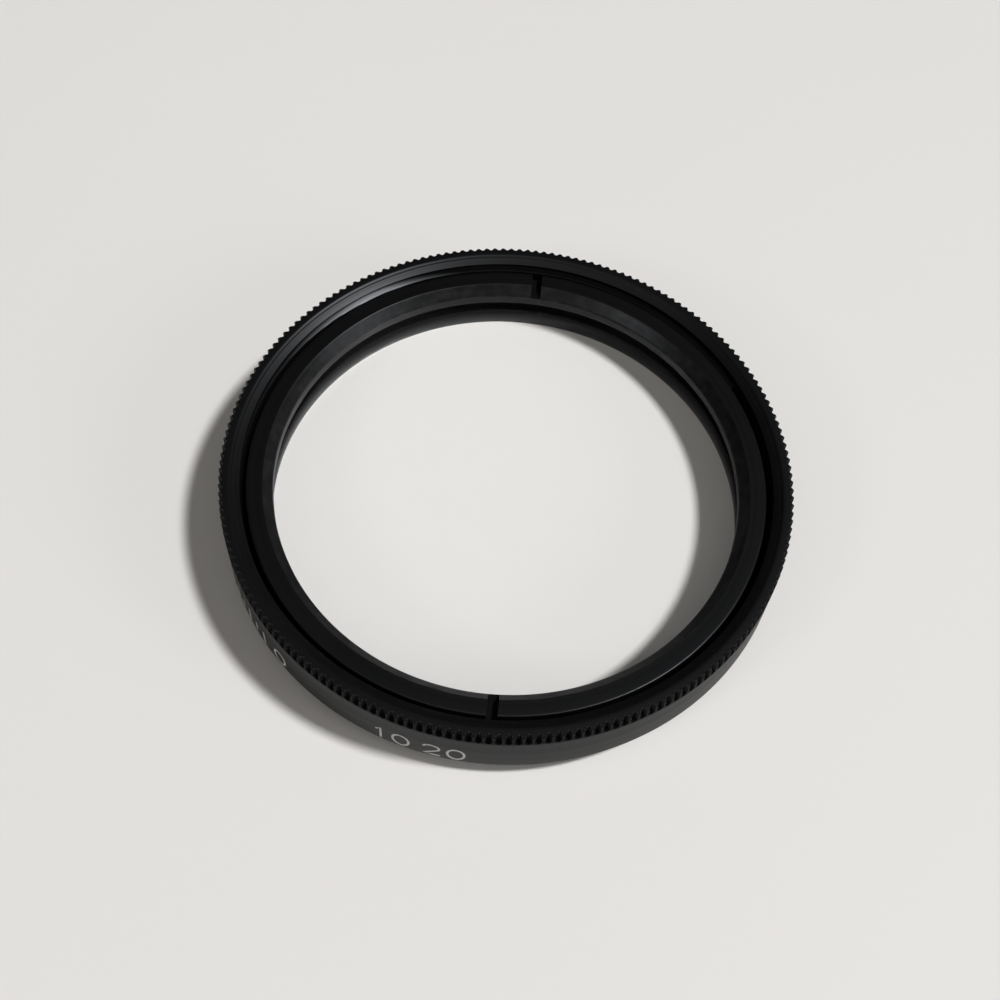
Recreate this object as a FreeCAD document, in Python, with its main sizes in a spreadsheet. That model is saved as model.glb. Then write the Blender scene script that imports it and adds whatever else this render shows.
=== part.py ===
import FreeCAD, Part
import os
import Sketcher
from FreeCAD import Vector

# Screw-in close-up lens: a knurled aluminium mount, one plano-convex glass
# and the slotted ring that holds the glass on its ledge.
# Z is the optical axis with the front of the lens up; z = 0 is the rear end that it stands on.

doc = FreeCAD.newDocument("closeup_lens")
sheet = doc.addObject("Spreadsheet::Sheet", "sheet")

# The rim sets the diameters: each one follows from its neighbour and the wall or step between them
sizes = (
    ("outer_dia", "40.0"),
    ("body_height", "4.8"),
    ("front_bevel", "0.12"),
    ("rear_bevel", "0.12"),
    ("lip_wall", "0.73"),
    ("lip_dia", "=outer_dia - 2 * lip_wall"),
    ("lead_in_depth", "0.46"),
    ("lead_in_width", "1.014"),
    ("thread_dia", "=lip_dia - 2 * lead_in_width"),
    ("thread_clearance", "0.02"),
    ("thread_relief", "0.35"),
    ("shoulder_width", "1.55"),
    ("spigot_dia", "=outer_dia - 2 * shoulder_width"),
    ("spigot_length", "1.6"),
    ("spigot_chamfer", "0.3"),
    ("knurl_count", "198"),
    ("knurl_half_angle", "45"),
    ("knurl_tip_land", "0.045"),
    ("knurl_root_flat", "0.03"),
    ("knurl_length", "1.08"),
    ("knurl_runout", "0.3"),
    ("cutter_overlap", "0.05"),
    ("glass_step", "0.506"),
    ("glass_dia", "=thread_dia - 2 * glass_step"),
    ("glass_clearance", "0.05"),
    ("glass_edge", "2.07"),
    ("glass_radius", "129.0"),
    ("seat_height", "1.95"),
    ("ledge_width", "1.25"),
    ("clear_bore_dia", "=glass_dia - 2 * ledge_width"),
    ("clear_bore_chamfer", "0.12"),
    ("ring_recess", "0.8"),
    ("ring_overlap", "1.35"),
    ("ring_bore_dia", "=glass_dia - 2 * ring_overlap"),
    ("ring_cone_width", "0.68"),
    ("ring_face_dia", "=ring_bore_dia + 2 * ring_cone_width"),
    ("ring_cone_depth", "0.69"),
    ("ring_edge_bevel", "0.1"),
    ("slot_width", "0.75"),
    ("slot_depth", "0.7"),
    ("slot_offset", "0.65"),
)
for row, (name, value) in enumerate(sizes, start=1):
    sheet.set("A%d" % row, name)
    sheet.set("B%d" % row, value)
    sheet.setAlias("B%d" % row, name)
doc.recompute()

# Levels and radii that several pieces share, built from the sizes above
front = "(sheet.spigot_length + sheet.body_height)"
ringTop = "(" + front + " - sheet.ring_recess)"
glassTop = "(sheet.seat_height + sheet.glass_edge)"
glassRim = "(sheet.glass_dia / 2)"
domeDrop = "sqrt(sheet.glass_radius ^ 2 - " + glassRim + " ^ 2)"
threadRad = "(sheet.thread_dia / 2)"
ringRad = "(" + threadRad + " - sheet.thread_clearance)"
outerRad = "(sheet.outer_dia / 2)"
domeCentre = "(" + glassTop + " - " + domeDrop + ")"
# Where the dome would pass under the outside of the retaining ring
ringFoot = "(" + domeCentre + " + sqrt(sheet.glass_radius ^ 2 - " + ringRad + " ^ 2))"
threadEnd = ringFoot + " - sheet.thread_relief"
# The notches leave a narrow land on each tooth, so their depth follows from the tooth pitch
notchWidth = "(pi * sheet.outer_dia / sheet.knurl_count - sheet.knurl_tip_land - sheet.knurl_root_flat)"
notchSlope = "tan(sheet.knurl_half_angle * 1 deg)"
notchDepth = "(" + notchWidth + " / 2 / " + notchSlope + ")"


def originPart(body, role):
    return next(f for f in body.Origin.OriginFeatures if f.Role == role)


def bindPoint(sketch, geo, end, tag, across, up):
    # Ties one sketch point to its radius and height; a zero lies on the sketch axis itself
    for kind, axis, expr, suffix in (("DistanceX", -2, across, "R"), ("DistanceY", -1, up, "Z")):
        if expr == "0":
            sketch.addConstraint(Sketcher.Constraint("PointOnObject", geo, end, axis))
            continue
        value = float(sketch.evalExpression(expr))
        at = sketch.addConstraint(Sketcher.Constraint(kind, -1, 1, geo, end, value))
        sketch.renameConstraint(at, tag + suffix)
        sketch.setExpression("Constraints." + tag + suffix, expr)


def flatSketch(body, name, plane):
    sketch = body.newObject("Sketcher::SketchObject", name)
    sketch.AttachmentSupport = (originPart(body, plane), [""])
    sketch.MapMode = "FlatFace"
    return sketch


def sectionSketch(body, name, corners):
    # Closed half section in the radius and height plane
    sketch = flatSketch(body, name, "XZ_Plane")
    spots = []
    for across, up in corners:
        spots.append(Vector(float(body.evalExpression(across)), float(body.evalExpression(up)), 0))
    count = len(spots)
    for i in range(count):
        sketch.addGeometry(Part.LineSegment(spots[i], spots[(i + 1) % count]), False)
    for i in range(count):
        sketch.addConstraint(Sketcher.Constraint("Coincident", i, 2, (i + 1) % count, 1))
    for i, (across, up) in enumerate(corners):
        bindPoint(sketch, i, 1, "p%d" % i, across, up)
    return sketch


def turn(body, sketch, name):
    rev = body.newObject("PartDesign::Revolution", name)
    rev.Profile = sketch
    rev.ReferenceAxis = (sketch, ["V_Axis"])
    rev.Angle = 360
    body.Tip = rev
    doc.recompute()
    return rev


# Mount: turned in one piece from the rear spigot to the front lip
frame = doc.addObject("PartDesign::Body", "frame_ring")
frame.Label = "frame_ring"
frameSection = sectionSketch(frame, "FrameSection", (
    ("sheet.clear_bore_dia / 2 + sheet.clear_bore_chamfer", "0"),
    ("sheet.spigot_dia / 2 - sheet.spigot_chamfer", "0"),
    ("sheet.spigot_dia / 2", "sheet.spigot_chamfer"),
    ("sheet.spigot_dia / 2", "sheet.spigot_length"),
    (outerRad + " - sheet.rear_bevel", "sheet.spigot_length"),
    (outerRad, "sheet.spigot_length + sheet.rear_bevel"),
    (outerRad, front + " - sheet.front_bevel"),
    (outerRad + " - sheet.front_bevel", front),
    ("sheet.lip_dia / 2", front),
    (threadRad, front + " - sheet.lead_in_depth"),
    (threadRad, threadEnd),
    (glassRim + " + sheet.glass_clearance", threadEnd),
    (glassRim + " + sheet.glass_clearance", "sheet.seat_height"),
    ("sheet.clear_bore_dia / 2", "sheet.seat_height"),
    ("sheet.clear_bore_dia / 2", "sheet.clear_bore_chamfer"),
))
turn(frame, frameSection, "FrameTurning")

# Knurl: one V notch with a sloped lower end, open to the front face, repeated round the rim.
# The cutter starts a little outside the rim and keeps the same slopes all the way in.
notch = frame.newObject("PartDesign::SubtractiveWedge", "KnurlNotch")
reachIn = "(" + notchDepth + " + sheet.cutter_overlap)"
rootHalf = "(sheet.knurl_root_flat / 2)"
mouthHalf = "(" + rootHalf + " + " + reachIn + " * " + notchSlope + ")"
lowEnd = "(" + front + " - sheet.knurl_length)"
lowMouth = lowEnd + " - sheet.cutter_overlap * sheet.knurl_runout / " + notchDepth
highEnd = front + " + sheet.cutter_overlap"
for name, expr in (
    ("Ymin", "0"),
    ("Ymax", reachIn),
    ("Xmin", "-" + mouthHalf),
    ("Xmax", mouthHalf),
    ("X2min", "-" + rootHalf),
    ("X2max", rootHalf),
    ("Zmin", lowMouth),
    ("Zmax", highEnd),
    ("Z2min", lowEnd + " + sheet.knurl_runout"),
    ("Z2max", highEnd),
):
    notch.setExpression(name, "(" + expr + ") * 1 mm")
notch.Placement = FreeCAD.Placement(Vector(0, 0, 0), FreeCAD.Rotation(Vector(0, 0, 1), 90))
notch.setExpression("Placement.Base.x", "(" + outerRad + " + sheet.cutter_overlap) * 1 mm")
frame.Tip = notch
doc.recompute()
knurl = frame.newObject("PartDesign::PolarPattern", "Knurl")
knurl.Originals = [notch]
knurl.Axis = (originPart(frame, "Z_Axis"), [""])
knurl.Angle = 360
knurl.setExpression("Occurrences", "sheet.knurl_count")
frame.Tip = knurl
doc.recompute()

# Glass: flat rear face on the ledge, spherical front
glass = doc.addObject("PartDesign::Body", "lens_glass")
glass.Label = "lens_glass"
glassSection = flatSketch(glass, "GlassSection", "XZ_Plane")
rimR = float(glass.evalExpression(glassRim))
seatZ = float(glass.evalExpression("sheet.seat_height"))
rimZ = float(glass.evalExpression(glassTop))
domeR = float(glass.evalExpression("sheet.glass_radius"))
centreZ = float(glass.evalExpression(domeCentre))
rimDir = Vector(rimR, rimZ - centreZ, 0)
circle = Part.Circle(Vector(0, centreZ, 0), Vector(0, 0, 1), domeR)
glassSection.addGeometry(Part.LineSegment(Vector(0, seatZ, 0), Vector(rimR, seatZ, 0)), False)
glassSection.addGeometry(Part.LineSegment(Vector(rimR, seatZ, 0), Vector(rimR, rimZ, 0)), False)
angle = Vector(1, 0, 0).getAngle(rimDir)
glassSection.addGeometry(Part.ArcOfCircle(circle, angle, 1.5707963267948966), False)
topZ = centreZ + domeR
glassSection.addGeometry(Part.LineSegment(Vector(0, topZ, 0), Vector(0, seatZ, 0)), False)
for first, firstEnd, second, secondEnd in ((0, 2, 1, 1), (1, 2, 2, 1), (2, 2, 3, 1), (3, 2, 0, 1)):
    glassSection.addConstraint(Sketcher.Constraint("Coincident", first, firstEnd, second, secondEnd))
bindPoint(glassSection, 0, 1, "seatCentre", "0", "sheet.seat_height")
bindPoint(glassSection, 1, 1, "seatRim", glassRim, "sheet.seat_height")
bindPoint(glassSection, 1, 2, "domeRim", glassRim, glassTop)
glassSection.addConstraint(Sketcher.Constraint("PointOnObject", 2, 2, -2))
glassSection.addConstraint(Sketcher.Constraint("PointOnObject", 2, 3, -2))
dome = glassSection.addConstraint(Sketcher.Constraint("Radius", 2, domeR))
glassSection.renameConstraint(dome, "domeRadius")
glassSection.setExpression("Constraints.domeRadius", "sheet.glass_radius")
turn(glass, glassSection, "GlassTurning")

# Retaining ring: flat top, conical mouth, straight bore; its foot is ground to the glass
ring = doc.addObject("PartDesign::Body", "retaining_ring")
ring.Label = "retaining_ring"
foot = ringFoot + " - sheet.cutter_overlap"
ringSection = sectionSketch(ring, "RingSection", (
    ("sheet.ring_bore_dia / 2", foot),
    (ringRad, foot),
    (ringRad, ringTop + " - sheet.ring_edge_bevel"),
    (ringRad + " - sheet.ring_edge_bevel", ringTop),
    ("sheet.ring_face_dia / 2", ringTop),
    ("sheet.ring_bore_dia / 2", ringTop + " - sheet.ring_cone_depth"),
))
turn(ring, ringSection, "RingTurning")
domeCut = ring.newObject("PartDesign::SubtractiveSphere", "GlassFoot")
domeCut.setExpression("Radius", "sheet.glass_radius * 1 mm")
domeCut.setExpression("Placement.Base.z", domeCentre + " * 1 mm")
ring.Tip = domeCut
doc.recompute()

# Spanner slots: one straight saw cut across the ring, a little beside the centre
cutSketch = flatSketch(ring, "SlotSketch", "XY_Plane")
cutSketch.setExpression("AttachmentOffset.Base.z", ringTop + " * 1 mm")
cutLeft = "(sheet.slot_offset - sheet.slot_width / 2)"
cutRight = "(sheet.slot_offset + sheet.slot_width / 2)"
xs = [float(ring.evalExpression(expr)) for expr in (cutLeft, cutRight)]
reach = float(ring.evalExpression(outerRad))
spots = [Vector(x, y, 0) for x, y in zip((xs[0], xs[1], xs[1], xs[0]), (-reach, -reach, reach, reach))]
for i in range(4):
    cutSketch.addGeometry(Part.LineSegment(spots[i], spots[(i + 1) % 4]), False)
for i in range(4):
    cutSketch.addConstraint(Sketcher.Constraint("Coincident", i, 2, (i + 1) % 4, 1))
for i, kind in ((0, "Horizontal"), (1, "Vertical"), (2, "Horizontal"), (3, "Vertical")):
    cutSketch.addConstraint(Sketcher.Constraint(kind, i))
bindPoint(cutSketch, 0, 1, "cutNear", cutLeft, "-" + outerRad)
bindPoint(cutSketch, 2, 1, "cutFar", cutRight, outerRad)
slots = ring.newObject("PartDesign::Pocket", "SpannerSlots")
slots.Profile = cutSketch
slots.setExpression("Length", "sheet.slot_depth * 1 mm")
ring.Tip = slots
doc.recompute()

os.makedirs("parts", exist_ok=True)
for item in doc.Objects:
    if "Invalid" in item.State or "Error" in item.State:
        raise RuntimeError("feature not built: " + item.Label)
for body in (frame, glass, ring):
    if body.Shape.isNull() or not body.Shape.isValid():
        raise RuntimeError("no valid shape: " + body.Label)
    body.Shape.exportStep("parts/" + body.Label + ".step")
    box = body.Shape.BoundBox
    print(body.Label, "volume", round(body.Shape.Volume, 2), "z", round(box.ZMin, 3), round(box.ZMax, 3))
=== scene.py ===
import math

import bmesh
import bpy
import numpy as np
from mathutils import Matrix


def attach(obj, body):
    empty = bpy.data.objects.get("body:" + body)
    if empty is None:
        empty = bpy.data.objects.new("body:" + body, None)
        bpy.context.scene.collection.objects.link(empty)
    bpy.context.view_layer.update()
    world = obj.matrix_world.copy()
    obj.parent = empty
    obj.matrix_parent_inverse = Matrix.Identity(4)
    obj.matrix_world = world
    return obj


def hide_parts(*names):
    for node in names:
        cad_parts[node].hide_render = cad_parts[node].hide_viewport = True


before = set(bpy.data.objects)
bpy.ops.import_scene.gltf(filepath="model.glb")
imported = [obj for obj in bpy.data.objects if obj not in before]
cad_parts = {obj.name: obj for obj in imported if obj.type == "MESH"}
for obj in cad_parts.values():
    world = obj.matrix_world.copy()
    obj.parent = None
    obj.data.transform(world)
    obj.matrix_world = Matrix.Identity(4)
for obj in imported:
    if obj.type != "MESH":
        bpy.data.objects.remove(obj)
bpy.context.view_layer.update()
mm = 0.001
turn = 2 * math.pi
scene = bpy.context.scene
scene.view_settings.view_transform = "Standard"
print("frame loaded:", ", ".join(sorted(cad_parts)))


# Shader helpers: a value is set on its socket, or linked where it is another node's socket
def addNode(tree, kind, **settings):
    node = tree.nodes.new(kind)
    for key, value in settings.items():
        setattr(node, key, value)
    return node


def feed(tree, socket, value):
    if isinstance(value, bpy.types.NodeSocket):
        tree.links.new(value, socket)
    else:
        socket.default_value = value


def feedNode(tree, node, **values):
    for label, value in values.items():
        feed(tree, node.inputs[label.replace("_", " ")], value)
    return node


def mathNode(tree, operation, *values, clamp=False):
    node = addNode(tree, "ShaderNodeMath", operation=operation, use_clamp=clamp)
    for socket, value in zip(node.inputs, values):
        feed(tree, socket, value)
    return node.outputs[0]


def noise(tree, dimensions="3D", **values):
    node = addNode(tree, "ShaderNodeTexNoise", noise_dimensions=dimensions)
    return feedNode(tree, node, **values).outputs[0]


def mapRange(tree, value, fromMin, fromMax, toMin=0.0, toMax=1.0, kind="LINEAR"):
    node = addNode(tree, "ShaderNodeMapRange", interpolation_type=kind)
    feedNode(tree, node, Value=value, From_Min=fromMin, From_Max=fromMax, To_Min=toMin, To_Max=toMax)
    return node.outputs[0]


def mixColour(tree, share, first, second):
    node = addNode(tree, "ShaderNodeMix", data_type="RGBA")
    for place, value in zip((0, 6, 7), (share, first, second)):
        feed(tree, node.inputs[place], value)
    return node.outputs[2]


def startMaterial(name):
    material = bpy.data.materials.new(name)
    material.use_nodes = True
    tree = material.node_tree
    place = addNode(tree, "ShaderNodeTexCoord").outputs["Object"]
    return material, tree, tree.nodes["Principled BSDF"], place


def startGroup(name, inputs, outputs):
    group = bpy.data.node_groups.new(name, "ShaderNodeTree")
    group.interface.new_socket("Place", in_out="INPUT", socket_type="NodeSocketVector")
    for label, start in inputs.items():
        socket = group.interface.new_socket(label, in_out="INPUT", socket_type="NodeSocketFloat")
        socket.default_value = start
    for label in outputs:
        group.interface.new_socket(label, in_out="OUTPUT", socket_type="NodeSocketFloat")
    return group, addNode(group, "NodeGroupInput").outputs, addNode(group, "NodeGroupOutput")


def useGroup(tree, group, **values):
    return feedNode(tree, addNode(tree, "ShaderNodeGroup", node_tree=group), **values).outputs


# Lathe lines: one dimensional noise along radius plus height, so the lines run round the axis
def makeLatheLines():
    group, given, result = startGroup("latheLines", {"Lines per metre": 9000.0}, ("Height", "Tone"))
    split = addNode(group, "ShaderNodeSeparateXYZ")
    group.links.new(given["Place"], split.inputs[0])
    x, y, z = split.outputs
    squares = [mathNode(group, "MULTIPLY", side, side) for side in (x, y)]
    radius = mathNode(group, "SQRT", mathNode(group, "ADD", *squares))
    lines = mathNode(group, "MULTIPLY", mathNode(group, "ADD", radius, z), given["Lines per metre"])
    fine = noise(group, "1D", W=lines, Scale=1.0, Detail=3.0)
    broad = noise(group, "1D", W=lines, Scale=0.16, Detail=2.0)
    feedNode(group, result, Height=fine, Tone=broad)
    return group


# Dye grain: fine cloud of pits in the anodised skin, with a slower patchy tone
def makeDyeGrain():
    group, given, result = startGroup("dyeGrain", {"Grains per metre": 14000.0}, ("Pits", "Patches"))
    pits = noise(group, Vector=given["Place"], Scale=given["Grains per metre"], Detail=2.0)
    patches = noise(group, Vector=given["Place"], Scale=260.0, Detail=4.0)
    feedNode(group, result, Pits=pits, Patches=patches)
    return group


# Rub and glint mask: the stored value above zero, broken up by noise so that a lighter bare colour shows in
# short runs; real edge wear on the rims, and a painted glint on the thread crest, the bore foot, the ring's
# cone and bore edge and the slot corners
def makeRubAndGlint():
    group, given, result = startGroup("rubAndGlint", {"Edge": 0.0, "Amount": 0.5}, ("Mask",))
    breaks = noise(group, Vector=given["Place"], Scale=1400.0, Detail=3.0)
    spread = mapRange(group, breaks, 0.35, 0.75, kind="SMOOTHSTEP")
    share = mathNode(group, "MULTIPLY", spread, given["Amount"])
    feedNode(group, result, Mask=mathNode(group, "MULTIPLY", share, given["Edge"], clamp=True))
    return group


latheLines = makeLatheLines()
dyeGrain = makeDyeGrain()
rubAndGlint = makeRubAndGlint()

# Black anodised finish, shared by the mount and the retaining ring
anodisedFinish = {
    "dark": (0.0022, 0.0023, 0.0026, 1), "pale": (0.0042, 0.0042, 0.0045, 1),
    "bareAndGlint": (0.115, 0.115, 0.115, 1), "shade": (0.90, 0.95, 1.0, 1), "ior": 1.335,
    "mattRough": 0.25, "bump": 0.06, "bumpDepth": 0.00001,
}


# Anodised skin: a stored value above zero is rubbed and shinier, one below zero stays matt and dark; the
# value holds real wear and finish, and also painted highlights (shinier, lighter) and painted shade (matt
# and dark)
def blackAnodised(name, linesPerMetre, lineStrength, rubGlintAmount, roughLow, roughHigh):
    look = anodisedFinish
    material, tree, shader, place = startMaterial(name)
    wearAndPaintedLight = addNode(tree, "ShaderNodeAttribute", attribute_name="wearAndPaintedLight").outputs["Fac"]
    lines = useGroup(tree, latheLines, Place=place, Lines_per_metre=linesPerMetre)
    grain = useGroup(tree, dyeGrain, Place=place)
    rubGlint = useGroup(tree, rubAndGlint, Place=place, Edge=wearAndPaintedLight, Amount=rubGlintAmount)
    dye = mixColour(tree, grain["Patches"], look["dark"], look["pale"])
    tone = mapRange(tree, lines["Tone"], 0.3, 0.7, roughLow, roughHigh)
    mattAndPaintedShade = mathNode(tree, "MULTIPLY", wearAndPaintedLight, -1.0, clamp=True)
    relief = mathNode(tree, "MULTIPLY_ADD", lines["Height"], lineStrength, grain["Pits"])
    bump = addNode(tree, "ShaderNodeBump")
    feedNode(tree, bump, Strength=look["bump"], Distance=look["bumpDepth"], Height=relief)
    feedNode(
        tree, shader,
        IOR=look["ior"],
        Specular_Tint=look["shade"],
        # Specular level follows the stored value: painted shade where it is low, painted highlight where it
        # is high
        Specular_IOR_Level=mapRange(tree, wearAndPaintedLight, -1.0, 1.0),
        Base_Color=mixColour(tree, rubGlint["Mask"], dye, look["bareAndGlint"]),
        Roughness=mathNode(tree, "MULTIPLY_ADD", mattAndPaintedShade, look["mattRough"], tone),
        Normal=bump.outputs[0],
    )
    return material


# Grid helper: quads between neighbouring points of each rows by columns grid, seams welded where points meet
def gridPiece(name, grids, material, wearAndPaintedLight=None, sharpAt=24):
    quads, count = [], 0
    for grid in grids:
        rows, cols = grid.shape[:2]
        start = count + (np.arange(rows - 1)[:, None] * cols + np.arange(cols - 1)).ravel()
        quads.append(np.stack([start, start + 1, start + cols + 1, start + cols], axis=1))
        count += rows * cols
    quads = np.concatenate(quads)
    points = np.concatenate([grid.reshape(-1, 3) for grid in grids]) * mm
    # Per-point wear and painted light values, zero where none are given
    wearAndLightValues = np.zeros(count) if wearAndPaintedLight is None else wearAndPaintedLight
    mesh = bpy.data.meshes.new(name)
    mesh.vertices.add(count)
    mesh.vertices.foreach_set("co", points.astype(np.float32).ravel())
    mesh.loops.add(quads.size)
    mesh.loops.foreach_set("vertex_index", quads.astype(np.int32).ravel())
    mesh.polygons.add(len(quads))
    mesh.polygons.foreach_set("loop_start", np.arange(0, quads.size, 4, dtype=np.int32))
    mesh.update(calc_edges=True)
    mesh.attributes.new("wearAndPaintedLight", "FLOAT", "POINT").data.foreach_set("value", wearAndLightValues.astype(np.float32).ravel())
    weld = bmesh.new()
    weld.from_mesh(mesh)
    bmesh.ops.remove_doubles(weld, verts=weld.verts, dist=0.0000005)
    bmesh.ops.recalc_face_normals(weld, faces=weld.faces)
    weld.to_mesh(mesh)
    weld.free()
    mesh.shade_smooth()
    mesh.set_sharp_from_angle(angle=math.radians(sharpAt))
    mesh.materials.append(material)
    piece = bpy.data.objects.new(name, mesh)
    scene.collection.objects.link(piece)
    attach(piece, "root")
    print(name, "faces", len(mesh.polygons))
    return piece


def polar(radius, angle, height):
    return np.stack(np.broadcast_arrays(radius * np.cos(angle), radius * np.sin(angle), height), axis=-1)


# Mount: a closed turned section carried round the axis, with knurl, turned line and both threads
mount = {
    "rimRad": 20.0, "front": 6.4, "bevel": 0.12, "shoulder": 1.6,
    "bandRad": 19.99, "bandMiddle": 3.4, "bandTop": 5.13,
    "teeth": 198, "notchDepth": 0.28, "notchAngle": 33, "rootFlat": 0.14, "rootTip": 0.03,
    "knurlLow": 5.23, "knurlStart": 0.02, "knurlRunout": 0.3,
    "faceOuter": 19.68, "faceInner": 19.5, "lipRad": 19.27, "lipRound": 0.03,
    "slopeRad": 18.635, "slopeAngle": 31, "lineRad": 19.08, "lineDepth": 0.015, "lineWidth": 0.022,
    "slopeSteps": (0.17, 0.1, 0.05, 0.03, 0.015, 0, -0.015, -0.03, -0.05, -0.15, -0.25, -0.35, -0.43),
    "threadRad": 18.256, "threadLow": 5.44, "threadRows": 26, "pitch": 0.75,
    "ridgeTop": 5.741, "ridgeAt": 130, "ridgeEnd": 210, "ridgeAngle": 25.5,
    "spigotRad": 18.45, "spigotChamfer": 0.3, "spigotThreadDepth": 0.40, "spigotThreadTop": 1.36,
    "reliefRad": 18.02, "reliefStep": 0.02, "rearRad": 17.4,
    "boreRad": 16.48, "boreFlare": 0.09, "boreRows": 15, "ledgeRound": 0.15,
    "seat": 1.95, "recessRad": 17.8, "recessTop": 3.60,
}
# Per-part wear and painted light: above zero rubbed and shinier, below zero matt and dark. The rim holds
# real wear; the thread crest is a painted highlight and the bore's rear foot a painted reflection; the
# knurl, tooth tops and thread facet are painted shade; the band, slope and recess are made matt
mountWearAndPaintedLight = {
    "plain": 0, "band": -0.4, "bandLow": -0.3, "knurl": -0.85, "toothTop": -0.75, "rim": 0.1,
    "slope": -0.2, "recess": -1, "crest": 0.8, "flank": 1.15, "dull": 1.5, "boreRear": 0.35,
}
mountSkin = {
    "linesPerMetre": 9000.0, "lineStrength": 0.9, "rubGlintAmount": 0.2, "roughLow": 0.34, "roughHigh": 0.38,
}


# Tooth columns: each notch has four, its two mouth corners and its two root corners. Their distance from the
# middle of the notch grows with the row's spread, so the notch comes to a point at the run-out
def toothColumns(spread):
    m = mount
    centre = np.repeat(np.arange(m["teeth"] + 1) * turn / m["teeth"], 4)[:-3]
    side = np.tile([-1.0, -1.0, 1.0, 1.0], m["teeth"] + 1)[:-3]
    mouth = np.tile([1.0, 0.0, 0.0, 1.0], m["teeth"] + 1)[:-3]
    rootHalf = (m["rootTip"] + (m["rootFlat"] - m["rootTip"]) * spread / m["notchDepth"]) / 2
    reach = rootHalf[:, None] + mouth * spread[:, None] * math.tan(math.radians(m["notchAngle"]))
    return centre + side * reach / m["rimRad"], 1 - mouth


# Plain rows: radius, height, notch spread, notch cut and wear and painted light value of each row, spread
# over all columns
def turnedRows(table):
    radius, height, spread, cut, wearAndPaintedLight = np.array(table, float).T[..., None]
    angle, root = toothColumns(spread[:, 0])
    radius = np.minimum(radius, mount["rimRad"] - cut * root)
    return polar(radius, angle, height), np.broadcast_to(wearAndPaintedLight, radius.shape)


# Male thread: rows climb one pitch a turn and stop at the ends; the radius is a trapezoid wave on the pitch
def spigotThread():
    m = mount
    crestHalf, rootStart = 0.0625, 0.375  # shares of the pitch
    phase = (np.arange(-2, 3)[:, None] + np.array([-crestHalf, crestHalf, rootStart, 1 - rootStart])).ravel()
    angle = toothColumns(np.full(len(phase), m["notchDepth"]))[0]
    height = np.clip((phase[:, None] + angle / turn) * m["pitch"], 0, m["spigotThreadTop"])
    away = np.abs((height / m["pitch"] - angle / turn + 0.5) % 1.0 - 0.5)
    fall = np.clip((away - crestHalf) / (rootStart - crestHalf), 0, 1) * m["spigotThreadDepth"]
    chamfer = np.clip(m["spigotChamfer"] - height, 0, None)
    radius = m["spigotRad"] - np.maximum(fall, chamfer)
    return polar(radius, angle, height), np.full(angle.shape, mountWearAndPaintedLight["plain"])


# Height of the inner slope at a radius: a straight fall from the lip
def slopeHeight(radius):
    return mount["front"] - (mount["lipRad"] - radius) * math.tan(math.radians(mount["slopeAngle"]))


# Female thread: the wall stands at the foot of the slope; one ridge climbs a pitch a turn and fades out into
# the wall; its crest near the start is made shinier, a painted highlight, and the rest matt and dark,
# painted shade
def frontThread():
    m = mount
    height = np.linspace(slopeHeight(m["slopeRad"]), m["threadLow"], m["threadRows"])[:, None]
    angle = toothColumns(np.full(len(height), m["notchDepth"]))[0]
    lap = (np.degrees(angle) - 30) % 360 + 30
    past = lap - m["ridgeAt"]
    ridge = m["ridgeTop"] + m["pitch"] * past / 360
    fade = np.clip(past / (m["ridgeEnd"] - m["ridgeAt"]), 0, 1)
    crest = m["threadRad"] + fade * (m["slopeRad"] - m["threadRad"])
    flank = m["threadRad"] + (height - ridge) / math.tan(math.radians(m["ridgeAngle"]))
    radius = np.clip(flank, crest, m["slopeRad"])
    share = (radius - m["threadRad"]) / (m["slopeRad"] - m["threadRad"])
    # Painted shade: the facet is made matt and dark before the ridge starts and more so along its fading run
    mattAndPaintedShade = np.clip((-5 - past) / 20, 0, 1) + np.clip((past - 2) / 40, 0, 0.6)  # degrees from the start
    wearAndPaintedLight = mountWearAndPaintedLight["crest"] - mountWearAndPaintedLight["flank"] * share - mountWearAndPaintedLight["dull"] * mattAndPaintedShade
    return polar(radius, angle, height), np.clip(wearAndPaintedLight, -1, 1)


# Clear bore: a rounded ledge edge and a slight rear flare, both with the fourth power, from matt and dark at
# the ledge to shiny at the rear foot, where the extra shine is a painted reflection
def clearBore():
    m = mount
    depth = np.linspace(0, 1, m["boreRows"])
    radius = m["boreRad"] + m["ledgeRound"] * (1 - depth) ** 4 + m["boreFlare"] * depth ** 4
    # Painted reflection: the rear foot is made shinier
    wearAndPaintedLight = mountWearAndPaintedLight["boreRear"] * depth ** 3 - (1 - depth) ** 1.5
    height, full = m["seat"] * (1 - depth), m["notchDepth"]
    return turnedRows([(r, z, full, 0, e) for r, z, e in zip(radius, height, wearAndPaintedLight)])


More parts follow.
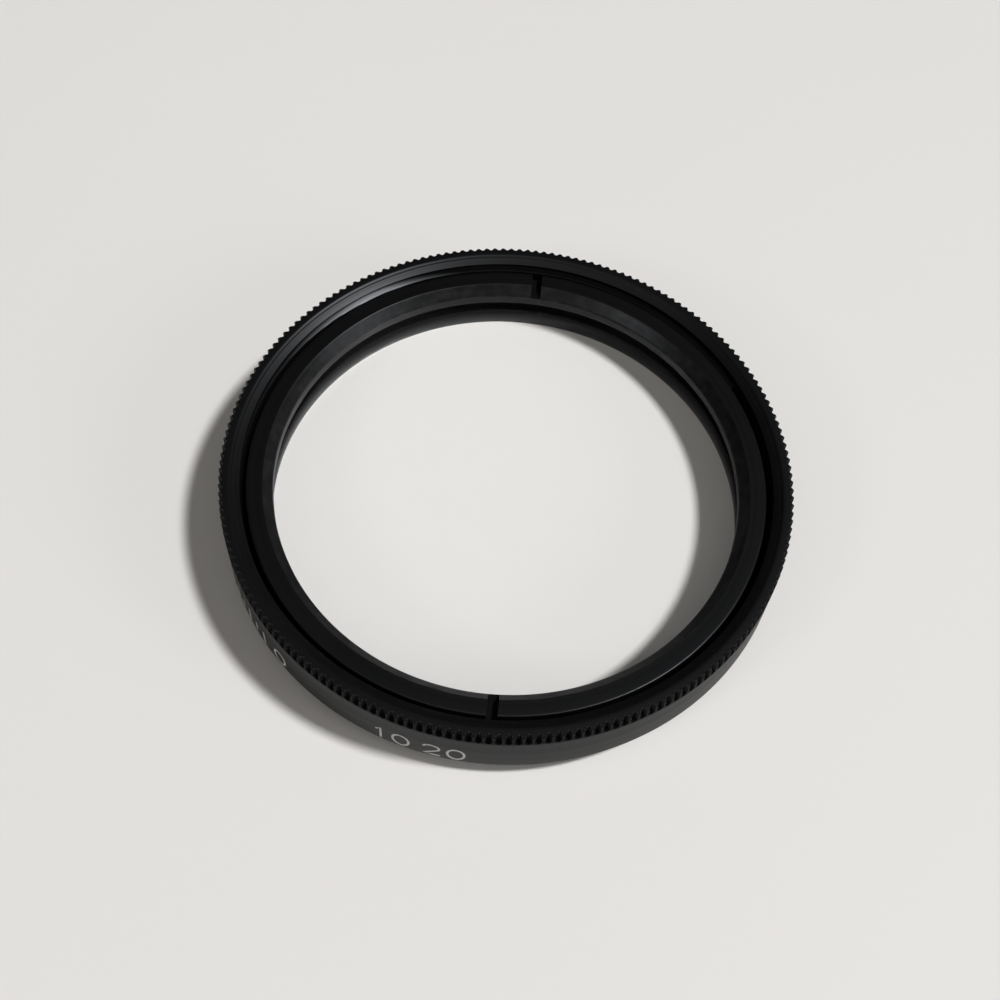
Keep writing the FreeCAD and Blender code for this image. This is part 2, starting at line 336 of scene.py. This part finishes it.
def buildMount():
    m, e = mount, mountWearAndPaintedLight
    full, front, low, start = m["notchDepth"], m["front"], m["knurlLow"], m["knurlStart"]
    rear = turnedRows([
        (m["boreRad"] + m["boreFlare"], 0, full, 0, e["plain"]),
        (m["rearRad"], 0, full, 0, e["plain"]),
    ])
    outside = turnedRows([
        (m["reliefRad"], m["spigotThreadTop"] + m["reliefStep"], full, 0, e["plain"]),
        (m["reliefRad"], m["shoulder"], full, 0, e["plain"]),
        (m["bandRad"] - m["bevel"], m["shoulder"], full, 0, e["bandLow"]),
        (m["bandRad"], m["shoulder"] + m["bevel"], full, 0, e["bandLow"]),
        (m["bandRad"], m["bandMiddle"], full, 0, e["band"]),
        (m["bandRad"], m["bandTop"], full, 0, e["band"]),
        (m["bandRad"], low, 0, 0, e["band"]),
        # Knurl rows and tooth tops are made matt and dark: painted shade in the notches
        (m["rimRad"], low + start, start, start, e["knurl"]),
        (m["rimRad"], low + m["knurlRunout"], full, full, e["knurl"]),
        (m["rimRad"], front - m["bevel"], full, full, e["toothTop"]),
        (m["rimRad"] - m["bevel"], front, full, full, e["rim"]),
        (m["faceOuter"], front, full, 0, e["plain"]),
        (m["faceInner"], front, full, 0, e["plain"]),
        (m["lipRad"] + m["lipRound"], front, full, 0, e["plain"]),
    ])
    # Inner slope: a straight fall with one shallow turned line, bell shaped in section
    slopeR = m["lineRad"] + np.array(m["slopeSteps"])
    line = m["lineDepth"] * np.exp(-((slopeR - m["lineRad"]) / m["lineWidth"]) ** 2)
    slope = turnedRows([(r, z, full, 0, e["slope"]) for r, z in zip(slopeR, slopeHeight(slopeR) - line)])
    recess = turnedRows([
        (m["threadRad"], m["recessTop"], full, 0, e["recess"]),
        (m["recessRad"], m["recessTop"], full, 0, e["recess"]),
        (m["recessRad"], m["seat"], full, 0, e["recess"]),
    ])
    blocks = [rear, spigotThread(), outside, slope, frontThread(), recess, clearBore()]
    points, wearAndPaintedLight = (np.concatenate(part) for part in zip(*blocks))
    piece = gridPiece("mountRing", [points], blackAnodised("mountAnodised", **mountSkin), wearAndPaintedLight)
    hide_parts("frame_ring")


buildMount()

# Retaining ring: turned section with a straight saw cut across it that leaves two spanner slots
holdRing = {
    "outerRad": 18.236, "top": 5.6, "edgeRound": 0.12, "faceRad": 17.08, "flatRad": 17.9,
    "boreRad": 16.40, "boreMiddle": 4.4, "coneEnd": 4.91, "coneBevel": 0.05, "lineWidth": 0.02,
    "domeRadius": 129.0, "domeCentre": -123.753, "bedGap": 0.004,
    "slotWidth": 0.75, "slotFloor": 4.9, "slotOffset": 0.65, "slotTurn": 0.88,
    "sideColumns": 240, "slotColumns": 4, "cornerShare": 0.0006,
}
# Per-part wear and painted light, as on the mount: the cone foot and cone are made shinier and rubbed, a
# painted glint and sheen; the slot corners carry a painted glint; the slot floor is made matt and dark,
# painted shade; the outer edge holds real wear and the bore is a little matt
holdRingWearAndPaintedLight = {
    "plain": 0, "bore": -0.15, "coneFoot": 0.5, "cone": 0.25, "outer": 0.1, "slotShade": -0.75, "corner": 0.2,
}
holdRingSkin = {
    "linesPerMetre": 11000.0, "lineStrength": 0.7, "rubGlintAmount": 0.3, "roughLow": 0.33, "roughHigh": 0.39,
}


# Slot columns: on each row the slot walls are lines of equal x, the rest is shared out evenly between them
def slotColumns(radius):
    h = holdRing
    side, cut = h["sideColumns"], h["slotColumns"]
    right = np.arccos((h["slotOffset"] + h["slotWidth"] / 2) / radius)[:, None]
    left = np.arccos((h["slotOffset"] - h["slotWidth"] / 2) / radius)[:, None]
    share = np.concatenate([[0], np.linspace(h["cornerShare"], 1 - h["cornerShare"], side - 2), [1]])
    across = np.linspace(0, 1, cut) * (left - right)
    angle = np.concatenate([
        -right + share * 2 * right,
        right + across,
        left + share * (turn - 2 * left),
        turn - left + across,
        turn - right,
    ], axis=1)
    inSlot = np.append(np.tile(np.repeat([False, True], [side, cut]), 2), False)
    corner = np.append(np.tile(np.repeat([True, False, True, False], [1, side - 2, 1, cut]), 2), True)
    return angle, inSlot, corner


# Underside: the height of the glass dome at a radius, plus a small gap
def bedHeight(radius):
    return holdRing["domeCentre"] + np.sqrt(holdRing["domeRadius"] ** 2 - radius ** 2) + holdRing["bedGap"]


def buildHoldRing():
    h, e = holdRing, holdRingWearAndPaintedLight
    bore, face, outer, top = h["boreRad"], h["faceRad"], h["outerRad"], h["top"]
    footR = np.linspace(outer, bore, 5)
    bevel = np.array([h["coneBevel"], h["coneBevel"] + h["lineWidth"]])
    corner = np.array([0.5, 1.5]) * h["lineWidth"]
    # Cone: a straight rise from the bore to the flat face
    coneR = np.concatenate([bore + bevel, bore + np.array([0.2, 0.35, 0.5]), face - corner[::-1]])
    coneZ = h["coneEnd"] + (coneR - bore) * (top - h["coneEnd"]) / (face - bore)
    flatR = np.concatenate([face + corner, np.linspace(face + 0.2, h["flatRad"], 4)])
    # Outer edge: a quarter circle from the flat to the wall
    bend = np.radians(np.linspace(0, 90, 7))
    roundR = outer - h["edgeRound"] * (1 - np.sin(bend))
    roundZ = top - h["edgeRound"] * (1 - np.cos(bend))
    wallZ = np.append(h["boreMiddle"], h["coneEnd"] - bevel[::-1])
    radius = np.concatenate([footR, np.full(3, bore), coneR, flatR, roundR, [outer]])[:, None]
    flatZ = np.full(len(flatR), top)
    height = np.concatenate([bedHeight(footR), wallZ, coneZ, flatZ, roundZ, [bedHeight(outer)]])[:, None]
    # Row values: a painted glint at the cone foot and a painted sheen on the cone
    levels = [e[key] for key in ("plain", "bore", "coneFoot", "cone", "plain", "outer", "plain")]
    wearAndPaintedLight = np.repeat(levels, [5, 2, 2, 6, 7, 2, 5])[:, None]
    angle, inSlot, atCorner = slotColumns(radius[:, 0])
    cutHeight = np.where(inSlot, np.minimum(height, h["slotFloor"]), height)
    # Slot corners get a painted glint, and the slot floor painted shade
    wearAndLightValues = np.where(atCorner, np.maximum(wearAndPaintedLight, e["corner"]), wearAndPaintedLight)
    wearAndLightValues = np.where(inSlot & (height > h["slotFloor"]), e["slotShade"], wearAndLightValues)
    points = polar(radius, angle - math.radians(h["slotTurn"]), cutHeight)
    piece = gridPiece("holdRing", [points], blackAnodised("holdRingAnodised", **holdRingSkin), wearAndLightValues)
    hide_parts("retaining_ring")


buildHoldRing()

# Glass: flat rear, ground edge with small bevels, spherical front; rows of radius and height turned round
lensGlass = {
    "rimRad": 17.745, "seat": 1.956, "edgeTop": 4.00, "bevel": 0.12,
    "domeRadius": 129.0, "domeCentre": -123.757, "rearRows": 12, "domeRows": 40, "columns": 257,
    "ior": 1.52, "shine": 0.15, "smear": 0.03,
    "clear": (1.0, 1.0, 1.0, 1), "tint": (0.985, 0.995, 0.99, 1), "paintedLightGain": (1.06, 1.06, 1.06, 1),
}


# Polished glass with faint smears; rays of soft light and shadow go straight through and come out brighter,
# painting a pool of extra light on the table under the glass
def polishedGlass():
    g = lensGlass
    material, tree, shader, place = startMaterial("polishedGlass")
    haze = noise(tree, Vector=place, Scale=160.0, Detail=5.0)
    feedNode(
        tree, shader,
        IOR=g["ior"],
        Transmission_Weight=1.0,
        Specular_IOR_Level=g["shine"],
        Base_Color=mixColour(tree, haze, g["clear"], g["tint"]),
        Roughness=mapRange(tree, haze, 0.55, 0.8, 0.0, g["smear"]),
    )
    # Painted light: the straight-through colour is above one, so these rays gain light
    straight = feedNode(tree, addNode(tree, "ShaderNodeBsdfTransparent"), Color=g["paintedLightGain"])
    path = addNode(tree, "ShaderNodeLightPath").outputs
    softRay = mathNode(tree, "MAXIMUM", path["Is Shadow Ray"], path["Is Diffuse Ray"])
    mix = addNode(tree, "ShaderNodeMixShader")
    for socket, value in zip(mix.inputs, (softRay, shader.outputs[0], straight.outputs[0])):
        feed(tree, socket, value)
    tree.links.new(mix.outputs[0], tree.nodes["Material Output"].inputs["Surface"])
    return material


def buildGlass():
    g = lensGlass
    flatRad = g["rimRad"] - g["bevel"]
    domeR = np.linspace(flatRad, 0, g["domeRows"])
    domeZ = g["domeCentre"] + np.sqrt(g["domeRadius"] ** 2 - domeR ** 2)
    rearR = np.linspace(0, flatRad, g["rearRows"])
    edgeZ = [g["seat"] + g["bevel"], g["edgeTop"] - g["bevel"]]
    radius = np.concatenate([rearR, np.full(2, g["rimRad"]), domeR])[:, None]
    height = np.concatenate([np.full(g["rearRows"], g["seat"]), edgeZ, domeZ])[:, None]
    points = polar(radius, np.linspace(0, turn, g["columns"]), height)
    piece = gridPiece("lensGlass", [points], polishedGlass(), sharpAt=12)
    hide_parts("lens_glass")


buildGlass()

# Painted marks: plain figures and index lines on the band, each a flat bead carried along its stroke
marks = {
    "bandRad": 19.985, "proud": 0.013, "sunk": 0.02, "stroke": 0.17, "middle": 2.72,
    "figureHeight": 1.5, "figureWidth": 1.12, "longTick": 1.5, "shortTick": 0.9,
    "figures": (("1", -109.9), ("0", -105.6), ("2", -99.6), ("0", -94.9), ("0", -134.6)),
    "longTicks": (-151.5, -145.7, -139.9), "shortTicks": (-148.6, -142.8),
    "dull": (0.40, 0.39, 0.38, 1), "bright": (0.68, 0.67, 0.65, 1), "shine": 0.3,
}


def whiteFill():
    k = marks
    material, tree, shader, place = startMaterial("whiteFill")
    grain = useGroup(tree, dyeGrain, Place=place, Grains_per_metre=16000.0)
    feedNode(
        tree, shader,
        Specular_IOR_Level=k["shine"],
        Base_Color=mixColour(tree, grain["Pits"], k["dull"], k["bright"]),
        Roughness=mapRange(tree, grain["Patches"], 0.0, 1.0, 0.5, 0.75),
    )
    return material


# Oval stroke: centre plus half sizes times cosine and sine of the sweep from one angle to the other
def ovalStroke(cx, cy, rx, ry, first, last, count):
    sweep = np.radians(np.linspace(first, last, count))
    return np.stack([cx + rx * np.cos(sweep), cy + ry * np.sin(sweep)], axis=1)


# Strokes in a unit square
strokes = {
    "0": ovalStroke(0.5, 0.5, 0.5, 0.5, 90, 450, 33),
    "1": np.array([(0.3, 0.76), (0.58, 1.0), (0.58, 0.5), (0.58, 0.0)]),
    "2": np.concatenate([
        ovalStroke(0.5, 0.7, 0.48, 0.3, 165, -35, 20), [(0.02, 0.0), (0.5, 0.0), (1.0, 0.0)],
    ]),
    "tick": np.array([(0.5, 0.0), (0.5, 0.35), (0.5, 0.7), (0.5, 1.0)]),
}


# Bead: four corners round each stroke point, half a stroke to both sides, from under the band to above it
def strokeBead(stroke, centreAngle, width, height):
    k = marks
    flat = (stroke - 0.5) * [width, height]
    ahead = np.gradient(flat, axis=0)
    ahead = ahead / np.linalg.norm(ahead, axis=1)[:, None] * k["stroke"] / 2
    across = np.stack([-ahead[:, 1], ahead[:, 0]], axis=1)
    tipA, tipB = flat[:1] - ahead[:1], flat[-1:] + ahead[-1:]
    left = np.concatenate([tipA, flat + across, tipB])
    right = np.concatenate([tipA, flat - across, tipB])
    place = np.stack([left, right, right, left, left])
    rise = np.array([k["proud"], k["proud"], -k["sunk"], -k["sunk"], k["proud"]])[:, None]
    angle = math.radians(centreAngle) + place[..., 0] / k["bandRad"]
    return polar(k["bandRad"] + rise, angle, k["middle"] + place[..., 1])


def buildMarks():
    k = marks
    beads = [strokeBead(strokes[f], angle, k["figureWidth"], k["figureHeight"]) for f, angle in k["figures"]]
    beads += [strokeBead(strokes["tick"], angle, 1.0, k["longTick"]) for angle in k["longTicks"]]
    beads += [strokeBead(strokes["tick"], angle, 1.0, k["shortTick"]) for angle in k["shortTicks"]]
    gridPiece("engravedMarks", beads, whiteFill(), sharpAt=40)


buildMarks()

# Table top: one wide pale sheet under the lens, with a faint cloudy tone
table = {
    "half": 3000.0, "points": 9, "pale": (0.80, 0.795, 0.785, 1), "dull": (0.765, 0.76, 0.755, 1),
    "cloudScale": 9.0, "shine": 0.2, "rough": 0.6,
}


def buildTable():
    t = table
    material, tree, shader, place = startMaterial("tableTop")
    tone = mixColour(tree, noise(tree, Vector=place, Scale=t["cloudScale"]), t["pale"], t["dull"])
    feedNode(tree, shader, Specular_IOR_Level=t["shine"], Roughness=t["rough"], Base_Color=tone)
    side = np.linspace(-t["half"], t["half"], t["points"])
    x, y = np.meshgrid(side, side, indexing="ij")
    piece = gridPiece("tableTop", [np.stack([x, y, np.zeros_like(x)], axis=-1)], material)


buildTable()

# Room light: a compact soft lamp from the right, a panel on each side, a wide ceiling and a dim sky
lamps = {
    "key": {
        "aim": (0.481, -0.058, 0.875), "away": 3.0, "size": 0.38, "power": 77, "colour": (1.0, 0.988, 0.978),
    },
    "rightPanel": {
        "aim": (0.85, -0.34, 0.42), "away": 0.6, "size": 0.26, "power": 0.54, "colour": (1.0, 0.98, 0.96),
    },
    "leftPanel": {
        "aim": (-0.60, -0.55, 0.58), "away": 0.6, "size": 0.14, "power": 0.26, "colour": (1.0, 0.985, 0.97),
    },
    "ceiling": {
        "aim": (-0.12, -0.40, 0.91), "away": 1.2, "size": 1.3, "power": 2.2, "colour": (1.0, 0.935, 0.85),
    },
}
sky = {"lowEnd": 0.06, "low": (0.08, 0.08, 0.08, 1), "highStart": 0.11, "high": (0.019, 0.02, 0.0215, 1)}


def placeAt(thing, columns, spot):
    axes = np.eye(4)
    axes[:3, :3] = np.stack(columns, axis=1)
    axes[:3, 3] = spot
    thing.matrix_world = Matrix(axes.tolist())
    scene.collection.objects.link(thing)


def buildLamps():
    for name, lamp in lamps.items():
        data = bpy.data.lights.new(name, "AREA")
        data.shape = "DISK"
        data.size = lamp["size"]
        data.energy = lamp["power"]
        data.color = lamp["colour"]
        aim = np.array(lamp["aim"]) / np.linalg.norm(lamp["aim"])
        side = np.cross([0.0, 1.0, 0.0], aim)
        side = side / np.linalg.norm(side)
        placeAt(bpy.data.objects.new(name, data), [side, np.cross(aim, side), aim], aim * lamp["away"])


def buildSky():
    world = bpy.data.worlds.new("room")
    scene.world = world
    world.use_nodes = True
    tree = world.node_tree
    split = addNode(tree, "ShaderNodeSeparateXYZ")
    tree.links.new(addNode(tree, "ShaderNodeTexCoord").outputs["Generated"], split.inputs[0])
    ramp = addNode(tree, "ShaderNodeValToRGB")
    tree.links.new(split.outputs["Z"], ramp.inputs[0])
    low, high = ramp.color_ramp.elements
    low.position, low.color = sky["lowEnd"], sky["low"]
    high.position, high.color = sky["highStart"], sky["high"]
    tree.links.new(ramp.outputs[0], tree.nodes["Background"].inputs["Color"])


buildLamps()
buildSky()
print("lamps and sky set")

# Camera: stands in front and above; tilt, pan and roll are small turns from the line to the aim point
shot = {
    "aimHeight": 6.31, "away": 98.5, "elevation": 57.7021, "pan": 0.2128, "tilt": 1.3163, "roll": 5.1735,
    "focalPixels": 1412.45, "imagePixels": 1000.0, "sensor": 36.0, "clipStart": 0.005,
}


def buildCamera():
    s = shot
    up, pan, tilt, roll = (math.radians(s[key]) for key in ("elevation", "pan", "tilt", "roll"))
    spot = s["away"] * np.array([0, -math.cos(up), math.sin(up)]) + [0, 0, s["aimHeight"]]
    base = np.array([(1, 0, 0), (0, -math.sin(up), -math.cos(up)), (0, math.cos(up), -math.sin(up))])
    turns = Matrix.Rotation(roll, 3, "Z") @ Matrix.Rotation(pan, 3, "Y") @ Matrix.Rotation(tilt, 3, "X")
    right, down, ahead = np.array(turns) @ base
    data = bpy.data.cameras.new("shot")
    data.sensor_width = s["sensor"]
    data.lens = s["focalPixels"] * s["sensor"] / s["imagePixels"]
    data.clip_start = s["clipStart"]
    camera = bpy.data.objects.new("shot", data)
    placeAt(camera, [right, -down, -ahead], spot * mm)
    scene.camera = camera


buildCamera()
print("camera set")
